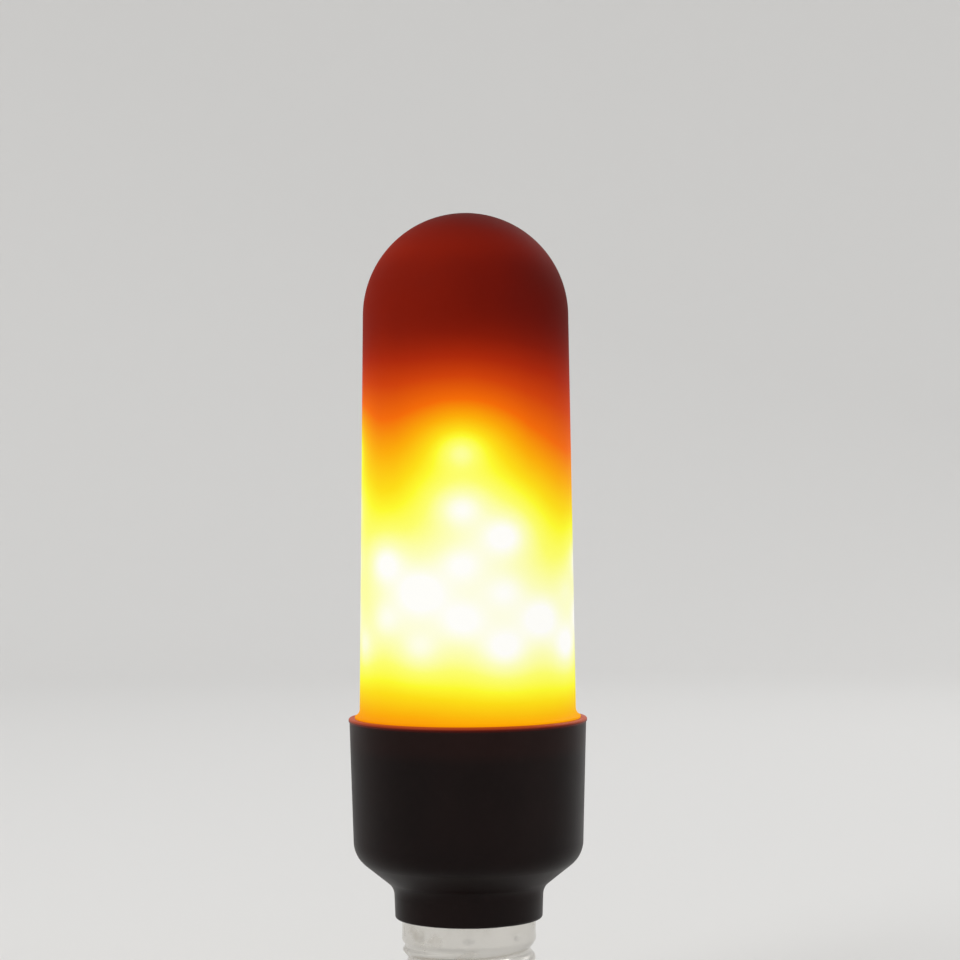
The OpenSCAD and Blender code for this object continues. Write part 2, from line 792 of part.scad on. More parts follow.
// Holes for a pair of pins at a part's place, apart along x or along the board's height
module pin_holes(at, apart, upright_pair = false) {
    for (side = [-1, 1])
        translate(upright_pair ? at + [0, side * apart / 2] : at + [side * apart / 2, 0])
            circle(d = pin_d + 3 * fit_gap, $fn = 24);
}

module driver_board() {
    color([0.1, 0.42, 0.2])
    translate([0, face_y, 0]) rotate([90, 0, 0]) linear_extrude(board_t) difference() {
        board_outline();
        pin_holes(input_cap_at, can_pins(input_cap_d));
        pin_holes(output_cap_at, can_pins(output_cap_d));
        pin_holes(film_cap_at, film_pins());
        pin_holes(choke_at, choke_pins());
        pin_holes(fuse_at, fuse_pins(), true);
        pin_holes(tilt_at - [0, tilt_size[1] / 2 + tilt_pin_drop], tilt_pin_apart);
        translate([-core_d / 2 - fit_gap, board_low_z - over]) square([core_d + 2 * fit_gap, slot_h + over]);
    }
}

// Socket whose mouth looks up, with a shallow window along its front
module ribbon_socket() {
    wall = 1;
    mouth_room = 0.4;
    mouth_depth = 2.2;
    window = [socket_size.x - 2 * wall, 0.5, 1.2];
    color([0.9, 0.88, 0.8])
    on_board(socket_at, 1) difference() {
        translate([-socket_size.x / 2, 0, -socket_size.z / 2]) cube(socket_size);
        translate([0, socket_size.y / 2 - solder_gap, socket_size.z / 2])
            cube([ribbon_size.x + mouth_room, ribbon_size[1] + mouth_room, 2 * mouth_depth], center = true);
        translate([-window.x / 2, socket_size.y - window.y, wall - socket_size.z / 2])
            cube([window.x, window.y + over, window.z]);
    }
}

module input_capacitor() {
    color([0.12, 0.14, 0.3]) on_board(input_cap_at, 1) can_capacitor(input_cap_d, input_cap_h);
}

module output_capacitor() {
    color([0.12, 0.14, 0.3]) on_board(output_cap_at, 1) can_capacitor(output_cap_d, output_cap_h);
}

module film_capacitor() {
    color([0.75, 0.12, 0.1])
    on_board(film_cap_at, -1) {
        translate([-film_cap_size.x / 2, 0, -film_cap_size.z / 2]) cube(film_cap_size);
        pins(film_pins());
    }
}

// Drum-core choke with its winding between two flanges
module choke() {
    r = choke_size[0] / 2;
    h = choke_size[1];
    flange = 1;
    waist = r - 0.7;
    color([0.2, 0.2, 0.22])
    on_board(choke_at, 1) {
        rotate([-90, 0, 0]) rotate_extrude() polygon([
            [0, 0], [r, 0], [r, flange], [waist, flange], [waist, h - flange], [r, h - flange], [r, h], [0, h]
        ]);
        pins(choke_pins());
    }
}

module bridge_rectifier() {
    color([0.1, 0.1, 0.11]) on_board(bridge_at, -1) chip(bridge_size, bridge_legs);
}

module driver_chip() {
    color([0.1, 0.1, 0.11]) on_board(driver_chip_at, -1) chip(driver_chip_size, driver_chip_legs);
}

module controller_chip() {
    color([0.1, 0.1, 0.11]) on_board(controller_at, -1) chip(controller_size, controller_legs);
}

// One transistor for each column of LEDs, in two rows under the socket
module row_transistors() {
    per_row = ceil(leds_per_row / 2);
    color([0.1, 0.1, 0.11])
    for (i = [0 : leds_per_row - 1]) {
        place = [i % per_row - (per_row - 1) / 2, 0.5 - floor(i / per_row)];
        on_board(transistors_at + [place.x * transistor_gap.x, place.y * transistor_gap.y], 1)
            translate([-transistor_size.x / 2, 0, -transistor_size.z / 2]) cube(transistor_size);
    }
}

module chip_resistors() {
    color([0.15, 0.15, 0.16])
    for (column = [-0.5, 0.5], row = [-1.5 : 1.5])
        on_board(resistors_at + [column * resistor_gap.x, row * resistor_gap.y], -1)
            translate([-resistor_size.x / 2, 0, -resistor_size.z / 2]) cube(resistor_size);
}

// Axial resistor that lies along the board, with a slight waist and its wires bent into their holes
module fusible_resistor() {
    d = fuse_size[0];
    h = fuse_size[1];
    sunk = 0.5;
    waist_r = 1.8;
    waist_depth = 0.2;
    y = face_y + solder_gap + d / 2;
    pin_z = fuse_pins() / 2;
    color([0.3, 0.5, 0.3])
    translate([0, 0, fuse_at.y]) {
        translate([fuse_at.x, y, -h / 2]) difference() {
            cylinder(d = d, h = h);
            translate([0, 0, h / 2]) rotate_extrude()
                translate([d / 2 + waist_r - waist_depth, 0]) circle(waist_r, $fn = 48);
        }
        upright(fuse_at.x) for (side = [-1, 1])
            bent([[y, side * (h / 2 - sunk)], [y, side * pin_z], [-face_y - pin_end, side * pin_z]], pin_bend)
                circle(d = pin_d, $fn = 24);
    }
}

// Gravity switch: a metal can that stands along the board, with both wires bent through it
module tilt_switch() {
    d = tilt_size[0];
    h = tilt_size[1];
    sunk = 0.3;
    bevel = 0.5;
    y = face_y + solder_gap + d / 2;
    bend_z = -h / 2 - tilt_pin_drop;
    color([0.75, 0.72, 0.6])
    translate([tilt_at.x, 0, tilt_at.y]) {
        translate([0, -y, -h / 2]) {
            cylinder(d = d, h = h);
            translate([0, 0, h]) cylinder(d1 = d, d2 = d - 2 * bevel, h = bevel);
        }
        for (side = [-0.5, 0.5])
            upright(side * tilt_pin_apart)
                bent([[-y, sunk - h / 2], [-y, bend_z], [face_y + pin_end, bend_z]], pin_bend)
                    circle(d = pin_d, $fn = 24);
    }
}

// Insulated lead from the contact's hollow shank to the slot in the board's tail, with bare ends
module live_lead() {
    bare = 1.2;
    color([0.7, 0.1, 0.08]) {
        translate([0, 0, contact_t])
            cylinder(d = core_d, h = board_low_z + slot_h - fit_gap - contact_t, $fn = 24);
        translate([0, 0, contact_t + bare])
            cylinder(d = lead_d, h = board_low_z - bare - contact_t - bare, $fn = 24);
    }
}

// Lead from the board's tail to the shell, which it meets under the spigot's end
module neutral_lead() {
    y = face_y + lead_d / 2 + solder_gap;
    low = insulator_top_z + lead_d;
    shell = root_r - shell_t - lead_d / 2 - fit_gap;
    color([0.1, 0.1, 0.12])
    upright(0)
        bent([[-y, board_low_z + slot_h], [-y, low], [-shell, low], [-shell, spigot_z - fit_gap]], lead_d)
            circle(d = lead_d, $fn = 24);
}

diffuser();
housing();
cap_shell();
cap_insulator();
centre_contact();
base_plate();
plate_screws();
core_tube();
led_flex_board();
side_leds();
top_led_board();
top_leds();
top_jumpers();
led_ribbon();
driver_board();
ribbon_socket();
input_capacitor();
output_capacitor();
film_capacitor();
choke();
bridge_rectifier();
driver_chip();
controller_chip();
row_transistors();
chip_resistors();
fusible_resistor();
tilt_switch();
live_lead();
neutral_lead();
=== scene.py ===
# %% [markdown]
# # A flame effect LED bulb
# The bulb is lit. A column of LEDs stands inside a frosted tube, and a small controller lights them in the
# shape of a flame. The tube sits in a dark moulded housing, which holds the driver and carries the screw cap.
# The solids come from CAD and stay as they are. This lesson gives them their finishes, works out the glow
# that the LEDs put on the frosted tube, and rolls a finer thread for the cap.

# %% Load the frame
import math

import bmesh
import bpy
import numpy as np
from mathutils import Matrix, Vector


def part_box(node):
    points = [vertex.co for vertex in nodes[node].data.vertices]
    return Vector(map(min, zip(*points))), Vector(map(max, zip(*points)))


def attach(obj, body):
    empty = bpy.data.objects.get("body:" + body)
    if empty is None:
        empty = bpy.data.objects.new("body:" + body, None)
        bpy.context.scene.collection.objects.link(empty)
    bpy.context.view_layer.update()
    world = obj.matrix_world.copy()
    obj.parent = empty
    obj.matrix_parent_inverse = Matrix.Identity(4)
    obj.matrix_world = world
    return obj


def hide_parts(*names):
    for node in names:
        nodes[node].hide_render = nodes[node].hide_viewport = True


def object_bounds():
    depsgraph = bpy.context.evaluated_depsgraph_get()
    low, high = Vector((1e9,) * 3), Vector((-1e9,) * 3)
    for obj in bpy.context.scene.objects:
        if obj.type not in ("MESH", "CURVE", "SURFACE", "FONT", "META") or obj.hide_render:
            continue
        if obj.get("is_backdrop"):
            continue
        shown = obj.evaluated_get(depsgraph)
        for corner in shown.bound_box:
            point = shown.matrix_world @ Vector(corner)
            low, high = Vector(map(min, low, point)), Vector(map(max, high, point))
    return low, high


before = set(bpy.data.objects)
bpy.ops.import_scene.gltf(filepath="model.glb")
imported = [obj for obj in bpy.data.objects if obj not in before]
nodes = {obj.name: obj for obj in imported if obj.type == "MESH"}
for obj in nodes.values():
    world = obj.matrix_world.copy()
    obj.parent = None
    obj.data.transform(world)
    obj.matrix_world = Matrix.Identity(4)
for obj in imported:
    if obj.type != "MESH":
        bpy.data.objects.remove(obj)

cad_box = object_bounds()
MM = 0.001
rim_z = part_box("housing")[1].z
top_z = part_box("diffuser")[1].z
print(f"{len(nodes)} nodes, {(cad_box[1].z - cad_box[0].z) / MM:.1f} mm tall, rim at {rim_z / MM:.1f} mm")

# %% [markdown]
# ## The camera
# The photograph was taken from straight ahead with a long lens. The ellipse of the housing's rim is almost
# flat, which says that the lens was only a little above the rim, and its width gives the distance. The bulb
# leans to the left by a third of a degree, so the camera is rolled by as much.

# %% Camera
LENS_MM, SENSOR_MM = 100.2, 36.0
EYE = Vector((0.00267, -0.528, 0.1123))
ROLL = math.radians(0.33)

camera = bpy.data.objects.new("camera", bpy.data.cameras.new("camera"))
camera.data.lens, camera.data.sensor_width = LENS_MM, SENSOR_MM
camera.data.clip_start = 0.01
camera.location = EYE
camera.rotation_euler = (math.pi / 2, ROLL, 0)
bpy.context.scene.collection.objects.link(camera)
bpy.context.scene.camera = camera

# %% [markdown]
# ## Small helpers for materials
# A material is a graph of nodes. Writing one line for each node, with its settings and its inputs in one
# place, keeps the graph readable: `add` makes a node, links the inputs that are sockets of other nodes, and
# sets the ones that are plain values.

# %% Node helpers
def add(tree, kind, inputs=None, **settings):
    made = tree.nodes.new(kind)
    for name, value in settings.items():
        setattr(made, name, value)
    for name, value in (inputs or {}).items():
        if isinstance(value, bpy.types.NodeSocket):
            tree.links.new(value, made.inputs[name])
        else:
            made.inputs[name].default_value = value
    return made


def calc(tree, operation, a, b=0.0, c=0.0):
    return add(tree, "ShaderNodeMath", {0: a, 1: b, 2: c}, operation=operation).outputs[0]


def srgb(red, green, blue):
    """A colour as it looks on the screen, from 0 to 255, as Blender's linear colour."""
    def linear(value):
        share = value / 255
        return share / 12.92 if share <= 0.04045 else ((share + 0.055) / 1.055) ** 2.4
    return (linear(red), linear(green), linear(blue), 1.0)


def ramp(tree, value, stops):
    """A colour ramp through (place, colour) stops."""
    made = add(tree, "ShaderNodeValToRGB", {0: value})
    while len(made.color_ramp.elements) < len(stops):
        made.color_ramp.elements.new(0.5)
    for element, (place, colour) in zip(made.color_ramp.elements, stops):
        element.position, element.color = place, colour
    return made.outputs[0]


def span(tree, value, low, high, to_low=0.0, to_high=1.0):
    """Maps low..high to to_low..to_high with soft ends."""
    places = {"Value": value, "From Min": low, "From Max": high, "To Min": to_low, "To Max": to_high}
    return add(tree, "ShaderNodeMapRange", places, interpolation_type="SMOOTHSTEP").outputs[0]


def new_material(name):
    made = bpy.data.materials.new(name)
    made.use_nodes = True
    return made, made.node_tree, made.node_tree.nodes["Principled BSDF"]


def finish_with(piece, material):
    piece.data.materials.clear()
    piece.data.materials.append(material)

# %% [markdown]
# ## Effects that several finishes share
# Real mouldings aren't one flat colour. Their gloss and shade drift a little over a few millimetres, and
# the tool leaves a fine grain. Turned and rolled metal has hair-thin rings. Each effect is one node group,
# built once, and each material that uses it gives it its own sizes.

# %% Shared node groups
def new_group(name, inputs, outputs):
    made = bpy.data.node_groups.new(name, "ShaderNodeTree")
    for label, value in inputs.items():
        socket = made.interface.new_socket(label, in_out="INPUT", socket_type="NodeSocketFloat")
        socket.default_value = value
    for label in outputs:
        made.interface.new_socket(label, in_out="OUTPUT", socket_type="NodeSocketFloat")
    return made, made.nodes.new("NodeGroupInput").outputs, made.nodes.new("NodeGroupOutput")


def moulded_grain():
    """Drift is a slow change of shade, and Grain is the fine tooth of the mould."""
    sizes = {"Drift per m": 90, "Grain per m": 3000}
    tree, given, out = new_group("moulded_grain", sizes, ["Drift", "Grain"])
    place = add(tree, "ShaderNodeTexCoord").outputs["Object"]
    drift = add(tree, "ShaderNodeTexNoise", {"Vector": place, "Scale": given["Drift per m"], "Detail": 3.0})
    grain = add(tree, "ShaderNodeTexNoise", {"Vector": place, "Scale": given["Grain per m"], "Detail": 2.0})
    tree.links.new(drift.outputs[0], out.inputs["Drift"])
    tree.links.new(grain.outputs[0], out.inputs["Grain"])
    return tree


def turned_rings():
    """Rings runs round the axis like lathe or rolling marks, and Tarnish is a blotchy mask."""
    sizes = {"Rings per m": 9000, "Tarnish per m": 160}
    tree, given, out = new_group("turned_rings", sizes, ["Rings", "Tarnish"])
    place = add(tree, "ShaderNodeTexCoord").outputs["Object"]
    flat = add(tree, "ShaderNodeMapping", {"Vector": place, "Scale": (0.02, 0.02, 1.0)}).outputs[0]
    rings = add(tree, "ShaderNodeTexNoise", {"Vector": flat, "Scale": given["Rings per m"], "Detail": 3.0})
    patches = {"Vector": place, "Scale": given["Tarnish per m"], "Detail": 5.0}
    blotch = add(tree, "ShaderNodeTexNoise", patches)
    tree.links.new(rings.outputs[0], out.inputs["Rings"])
    tree.links.new(span(tree, blotch.outputs[0], 0.48, 0.72), out.inputs["Tarnish"])
    return tree


GRAIN, RINGS = moulded_grain(), turned_rings()


def use(tree, group, **values):
    made = add(tree, "ShaderNodeGroup", node_tree=group)
    for label, value in values.items():
        made.inputs[label.replace("_", " ")].default_value = value
    return made.outputs


def bump(tree, height, strength, distance):
    form = {"Height": height, "Strength": strength, "Distance": distance}
    return add(tree, "ShaderNodeBump", form).outputs[0]


def axes(tree, vector):
    """The X, Y and Z of a vector."""
    return add(tree, "ShaderNodeSeparateXYZ", {0: vector}).outputs


def place_axes(tree):
    """Where a point of the surface lies, in metres."""
    return axes(tree, add(tree, "ShaderNodeTexCoord").outputs["Object"])


def both(tree, *masks):
    """A mask that is 1 only where all masks are."""
    found = masks[0]
    for mask in masks[1:]:
        found = calc(tree, "MULTIPLY", found, mask)
    return found


def shade(tree, colour, factor, low, high):
    """The colour, darkened to low and lightened to high of itself as factor goes from 0 to 1."""
    level = span(tree, factor, 0.3, 0.7, low, high)
    grey = add(tree, "ShaderNodeCombineColor", {"Red": level, "Green": level, "Blue": level}).outputs[0]
    return add(tree, "ShaderNodeMix", {"Factor": 1.0, "A": colour, "B": grey},
               data_type="RGBA", blend_type="MULTIPLY").outputs["Result"]

# %% [markdown]
# ## The flame
# The controller lights the LEDs in columns of different height, and the columns grow and shrink as a flame
# licks. One still frame is a list of how many LEDs burn in each of the sixteen columns round the bulb, from
# the left side round the front to the right and the back. A few LEDs flicker: given by column and row, they
# burn dimmer or brighter than the rest, or glow on above the top of their column.
# The tube is frosted, so each of its points shows how much light falls on it. That can be worked out as a
# lighting designer would: every lit LED adds its direct light, which falls off with distance and slant, and
# a share that has been scattered about inside the tube. The eye and the camera answer to ratios of light,
# so the sum is stored as a logarithm, scaled to run from 0, dark, to 1, white.

# %% Flame frame and its light
FIRST_COLUMN, COLUMN_STEP = -92.5, 22.5
LEDS_LIT = (3, 1, 2, 2, 3, 3, 1, 1, 2, 1, 2, 4, 3, 2, 2, 1)
FLICKER = {
    (0, 7): 0.5, (1, 0): 0.8, (2, 1): 0.7, (2, 3): 1.2, (3, 0): 0.8, (3, 2): 1.4, (4, 3): 0.8,
    (4, 7): 0.5, (5, 0): 1.2, (5, 2): 0.7, (5, 4): 1.3, (6, 1): 1.3, (7, 0): 1.3, (7, 2): 0.3,
}
ROW_COUNT, LEDS_PER_ROW = 12, 8
FIRST_TURN = 20.0
LED_LENGTH = 3.5
led_low, led_high = (corner.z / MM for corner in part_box("side_leds"))
first_row = led_low + LED_LENGTH / 2
row_pitch = (led_high - led_low - LED_LENGTH) / (ROW_COUNT - 1)
led_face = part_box("side_leds")[1].x / MM


def lit_leds():
    """Bearing from the front in radians, height in mm and brightness of each LED that is on."""
    for row in range(ROW_COUNT):
        for index in range(LEDS_PER_ROW):
            bearing = FIRST_TURN + (index + row % 2 / 2) * 360 / LEDS_PER_ROW
            column = round((bearing - FIRST_COLUMN) / COLUMN_STEP) % len(LEDS_LIT)
            steady = 1.0 if row // 2 < LEDS_LIT[column] else 0.0
            level = FLICKER.get((column, row), steady)
            if level > 0:
                yield math.radians(bearing), first_row + row * row_pitch, level


DIRECT, SCATTERED = 1.3, 0.95
SCATTER_REACH, SCATTER_POWER = 10.5, 2.0
WHITE_POINT, HEAT_PER_DECADE = 0.69, 0.44
DIM, DIM_TILT, DIM_BAND, DIM_CAP, SOFTNESS = 0.165, 0.04, 0.02, 0.035, 0.03
WALL, TUBE_R = 1.4, 19.6


def dim_at(x, height):
    """The tube is never quite dark: light runs up its wall, more on the left, and gathers in a faint band
    where the round end begins to close, and the very end is darker."""
    below = top_z / MM - height
    band = DIM_BAND * np.exp(-((below - 7.5) / 3.5) ** 2)
    cap = DIM_CAP * np.clip(1 - below / 5, 0, 1) ** 2
    return DIM - DIM_TILT * x / TUBE_R + band - cap


def heat_at(radius, bearing, height):
    """How hot the frosted wall looks, from 0 to 1, at points given in mm and radians."""
    reached = np.maximum(radius - WALL, 0)
    x, y = reached * np.sin(bearing), -reached * np.cos(bearing)
    light = np.full(radius.shape, 1e-9)
    for led_bearing, led_height, level in lit_leds():
        out_x, out_y = math.sin(led_bearing), -math.cos(led_bearing)
        away_x, away_y = x - led_face * out_x, y - led_face * out_y
        square = away_x ** 2 + away_y ** 2 + (height - led_height) ** 2
        leaves = np.maximum(away_x * out_x + away_y * out_y, 0)
        lands = np.maximum(away_x * np.sin(bearing) - away_y * np.cos(bearing), 0)
        direct = DIRECT * 36 * leaves * lands / square ** 2
        scattered = SCATTERED / (1 + square / SCATTER_REACH ** 2) ** SCATTER_POWER
        light += level * (direct + scattered)
    heat = WHITE_POINT + HEAT_PER_DECADE * np.log10(light)
    dim = dim_at(x, height)
    return np.minimum(SOFTNESS * np.logaddexp(heat / SOFTNESS, dim / SOFTNESS), 1.0)


print(f"{sum(1 for led in lit_leds())} LEDs are lit, rows {row_pitch:.2f} mm apart")

# %% [markdown]
# ## The frosted tube
# The tube is moulded in one piece: a drafted wall with a round end, a flared foot that rests on the
# housing's rim, and a collar with a snap bead that plugs into it. Its section is drawn once, from the outer
# pole down and back up the inside, and turned about the axis. The wall gets a row of faces every 0.6 mm, so
# that the glow, which is stored on the vertices, stays smooth.

# %% Frosted tube
SHEET_R = WALL * MM
FOOT_R, FOOT_REACH, FOOT_H, FOOT_EDGE = 21.35 * MM, 0.95 * MM, 1.6 * MM, 0.2 * MM
COLLAR_R, COLLAR_DEPTH = 20.85 * MM, 7.6 * MM
BEAD_R, BEAD_OUT, BEAD_DEPTH = 0.45 * MM, 0.35 * MM, 4 * MM
DRAFT = math.radians(0.76)
END_R = (FOOT_R * math.cos(DRAFT) - (top_z - rim_z) * math.sin(DRAFT)) / (1 - math.sin(DRAFT))
SPIN_STEPS = 208


def arc(centre, radius, start, end, count):
    """Points of an arc in the section's plane, with angles in degrees from the radius."""
    turns = [math.radians(start + (end - start) * i / count) for i in range(count + 1)]
    return [(centre[0] + radius * math.cos(t), centre[1] + radius * math.sin(t)) for t in turns]


def line(start, end, step):
    """Points along a line, both ends left out."""
    count = max(1, round(math.dist(start, end) / step))
    return [tuple(a + (b - a) * i / count for a, b in zip(start, end)) for i in range(1, count)]


def turn(name, section, steps=SPIN_STEPS):
    """Turns an open section, given as (radius, height) points, once round the axis."""
    mesh = bmesh.new()
    spots = [mesh.verts.new((radius, 0, height)) for radius, height in section]
    edges = [mesh.edges.new(pair) for pair in zip(spots, spots[1:])]
    bmesh.ops.spin(mesh, geom=spots + edges, cent=(0, 0, 0), axis=(0, 0, 1), angle=2 * math.pi,
                   steps=steps, use_merge=True, use_duplicate=False)
    bmesh.ops.remove_doubles(mesh, verts=mesh.verts, dist=1e-6)
    bmesh.ops.dissolve_degenerate(mesh, dist=1e-7, edges=mesh.edges)
    bmesh.ops.recalc_face_normals(mesh, faces=mesh.faces)
    data = bpy.data.meshes.new(name)
    mesh.to_mesh(data)
    mesh.free()
    piece = bpy.data.objects.new(name, data)
    bpy.context.scene.collection.objects.link(piece)
    return piece


def smooth(piece, limit_deg):
    """Smooth shading, but for edges sharper than the limit."""
    piece.data.shade_smooth()
    piece.data.set_sharp_from_angle(angle=math.radians(limit_deg))


def tube_section():
    end_z = top_z - END_R
    slope = math.degrees(DRAFT)
    foot_round = (FOOT_R + FOOT_H, rim_z + FOOT_EDGE + FOOT_H)
    reach = math.degrees(math.acos((FOOT_H - FOOT_REACH) / FOOT_H))
    outside = arc((0, end_z), END_R, 90, slope, 52)
    foot = arc(foot_round, FOOT_H, 180, 180 + reach, 8)
    lip = [(FOOT_R + FOOT_REACH, rim_z), (COLLAR_R, rim_z)]
    bead_turn = math.degrees(math.acos((BEAD_R - BEAD_OUT) / BEAD_R))
    bead = arc((COLLAR_R + BEAD_OUT - BEAD_R, rim_z - BEAD_DEPTH), BEAD_R, bead_turn, -bead_turn, 10)
    low = rim_z - COLLAR_DEPTH
    bore = COLLAR_R - SHEET_R
    inner_foot = (FOOT_R - SHEET_R / math.cos(DRAFT), rim_z)
    inside = arc((0, end_z), END_R - SHEET_R, slope, 90, 26)
    collar = bead + [(COLLAR_R, low), (bore, low), (bore, rim_z), inner_foot]
    wall, inner_wall = line(outside[-1], foot[0], 0.6 * MM), line(inner_foot, inside[0], 3 * MM)
    return outside + wall + foot + lip + collar + inner_wall + inside


tube = turn("frosted_tube", tube_section())
smooth(tube, 40)
places = np.array([vert.co for vert in tube.data.vertices]) / MM
radii = np.hypot(places[:, 0], places[:, 1])
bearings = np.arctan2(places[:, 0], -places[:, 1])
heats = heat_at(radii, bearings, places[:, 2])
tube.data.attributes.new("flame_level", "FLOAT", "POINT").data.foreach_set("value", heats.astype(np.float32))
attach(tube, "root")
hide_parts("diffuser")
print(f"tube: {len(tube.data.polygons)} faces, heat from {heats.min():.2f} to {heats.max():.2f}")

# %% [markdown]
# ## The glow's colours
# Seen by a camera, a brighter flame isn't just a lighter orange. Red fills up first, then green, which
# turns it yellow, and blue last, which turns it white. A ramp over the stored heat gives those colours. A
# share of that glow colour is also painted into the base colour, as painted light where the real frosted
# wall is white, so the room's light shows it, and the rest is emitted. The frosting itself is a fine tooth
# with a broad, weak sheen.

# %% Flame glow material
FLAME_COLOURS = (
    (0.10, srgb(60, 5, 1)), (0.15, srgb(98, 12, 2)), (0.20, srgb(128, 22, 2)), (0.27, srgb(168, 38, 3)),
    (0.35, srgb(205, 64, 4)), (0.46, srgb(243, 107, 1)), (0.56, srgb(252, 172, 1)),
    (0.66, srgb(253, 222, 20)), (0.72, srgb(253, 250, 46)), (0.80, srgb(253, 254, 110)),
    (0.90, srgb(253, 254, 190)), (0.985, srgb(255, 254, 250)),
)
PAINTED_GLOW_SHARE, GLOW_STRENGTH = 0.22, 0.79


def flame_glow():
    made, tree, shader = new_material("flame_glow")
    heat = add(tree, "ShaderNodeAttribute", attribute_name="flame_level").outputs["Fac"]
    grain = use(tree, GRAIN, Drift_per_m=60, Grain_per_m=5200)
    drift = calc(tree, "MULTIPLY_ADD", grain["Drift"], 0.03, -0.015)
    colour = ramp(tree, calc(tree, "ADD", heat, drift), FLAME_COLOURS)
    # Painted light: a share of the glow colour is put into the base colour, so the room's light adds to it.
    painted_glow_base = add(tree, "ShaderNodeMix", {"Factor": PAINTED_GLOW_SHARE, "A": (0, 0, 0, 1), "B": colour}, data_type="RGBA")
    tree.links.new(painted_glow_base.outputs["Result"], shader.inputs["Base Color"])
    tree.links.new(colour, shader.inputs["Emission Color"])
    shader.inputs["Emission Strength"].default_value = GLOW_STRENGTH
    tree.links.new(span(tree, grain["Drift"], 0.3, 0.7, 0.64, 0.72), shader.inputs["Roughness"])
    shader.inputs["Specular IOR Level"].default_value = 0.05
    tree.links.new(bump(tree, grain["Grain"], 0.15, 0.05 * MM), shader.inputs["Normal"])
    return made


finish_with(tube, flame_glow())

# %% [markdown]
# ## The housing
# The housing is black plastic from the mould, with a satin surface. Behind its lip and its first eight
# millimetres stands the tube's lit collar. The housing emits painted light there: a painted dark red
# highlight along the lip, and a painted hint of maroon glow on the band below it.

# %% Housing material
BAND_DEPTH = COLLAR_DEPTH
LIP_DEPTH = 0.8 * MM
PAINTED_RIM_GLOW_COLOURS = ((0.0, (0, 0, 0, 1)), (0.1, srgb(13, 2, 1)), (0.6, srgb(80, 12, 3)), (1.0, srgb(170, 62, 12)))


def dark_housing():
    made, tree, shader = new_material("dark_housing")
    grain = use(tree, GRAIN, Drift_per_m=70, Grain_per_m=2600)
    black = shade(tree, (0.006, 0.0025, 0.0022, 1), grain["Drift"], 0.8, 1.25)
    tree.links.new(black, shader.inputs["Base Color"])
    # Painted light: the black plastic emits a dark red highlight at the lip and a faint maroon glow below it.
    depth = calc(tree, "SUBTRACT", rim_z, place_axes(tree)["Z"])
    lip = span(tree, depth, 0.0, LIP_DEPTH * 1.5, 1.0, 0.0)
    band = span(tree, depth, BAND_DEPTH * 0.6, BAND_DEPTH, 1.0, 0.0)
    painted_rim_glow = calc(tree, "MULTIPLY_ADD", lip, 0.9, calc(tree, "MULTIPLY", band, 0.1))
    glow = ramp(tree, painted_rim_glow, PAINTED_RIM_GLOW_COLOURS)
    tree.links.new(glow, shader.inputs["Emission Color"])
    shader.inputs["Emission Strength"].default_value = 1.0
    tree.links.new(span(tree, grain["Drift"], 0.3, 0.7, 0.36, 0.44), shader.inputs["Roughness"])
    shader.inputs["Specular IOR Level"].default_value = 0.1
    tree.links.new(bump(tree, grain["Grain"], 0.25, 0.04 * MM), shader.inputs["Normal"])
    return made


finish_with(nodes["housing"], dark_housing())

# %% [markdown]
# ## The screw cap
# The cap's shell is thin sheet, nickel plated, with a round thread rolled into it. In CAD the thread has
# coarse facets, so a finer shell stands for it here. A plain tube is turned first, in rings a quarter of a
# millimetre apart. Each vertex then moves out along its radius by the height of the thread at its angle
# and height, so one wave climbs by a pitch in each turn. Eight dents round the collar stake the shell to
# the plastic. Solidify gives the sheet its thickness.

# %% Rolled shell
SHEET = 0.3 * MM
PITCH, THREAD_DEPTH = 3.629 * MM, 1.05 * MM
CREST_R, LIP_BEND, LIP_HOLE_R = 13.1 * MM, 1.6 * MM, 9.5 * MM
COLLAR_H = 4 * MM
STAKES, STAKE_R, STAKE_DEPTH = 8, 0.9 * MM, 0.32 * MM
shell_low, shell_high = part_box("cap_shell")
shell_r = shell_high.x
root_r = CREST_R - THREAD_DEPTH
thread_z = shell_low.z + LIP_BEND
collar_z = shell_high.z - COLLAR_H


def ease(value, start, end):
    share = min(1.0, max(0.0, (value - start) / (end - start)))
    return share * share * (3 - 2 * share)


def thread_height(height, angle):
    """How far the sheet stands out of the root circle."""
    run_in = ease(height, thread_z, thread_z + PITCH / 2)
    run_out = 1 - ease(height, collar_z - 0.6 * PITCH, collar_z - 0.1 * PITCH)
    wave = 0.5 + 0.5 * math.cos(2 * math.pi * height / PITCH - angle)
    flare = ease(height, collar_z - 0.5 * PITCH, collar_z)
    return THREAD_DEPTH * run_in * run_out * wave + (shell_r - root_r) * flare


def stake_depth(height, angle):
    """Depth of the nearest staking dent, which is a round dimple."""
    around = (angle * STAKES / (2 * math.pi) + 0.5) % 1 - 0.5
    across = around * 2 * math.pi * shell_r / STAKES
    return STAKE_DEPTH * math.exp(-(across ** 2 + (height - collar_z - COLLAR_H / 2) ** 2) / (STAKE_R ** 2))


def rolled_shell():
    bend = arc((root_r - LIP_BEND, thread_z), LIP_BEND, -90, 0, 8)
    top = (root_r, shell_high.z)
    section = [(LIP_HOLE_R, shell_low.z)] + bend + line(bend[-1], top, 0.25 * MM) + [top]
    piece = turn("rolled_shell", section, 144)
    for vert in piece.data.vertices:
        if vert.co.z > thread_z:
            angle = math.atan2(vert.co.y, vert.co.x)
            radius = root_r + thread_height(vert.co.z, angle) - stake_depth(vert.co.z, angle)
            vert.co.xy = vert.co.xy.normalized() * radius
    piece.data.update()
    sheet = piece.modifiers.new("sheet", "SOLIDIFY")
    sheet.thickness, sheet.offset = SHEET, -1
    piece.data.shade_smooth()
    return piece


shell = rolled_shell()
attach(shell, "root")
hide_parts("cap_shell")
print(f"shell: {len(shell.data.polygons)} faces, thread from {thread_z / MM:.1f} to {collar_z / MM:.1f} mm")

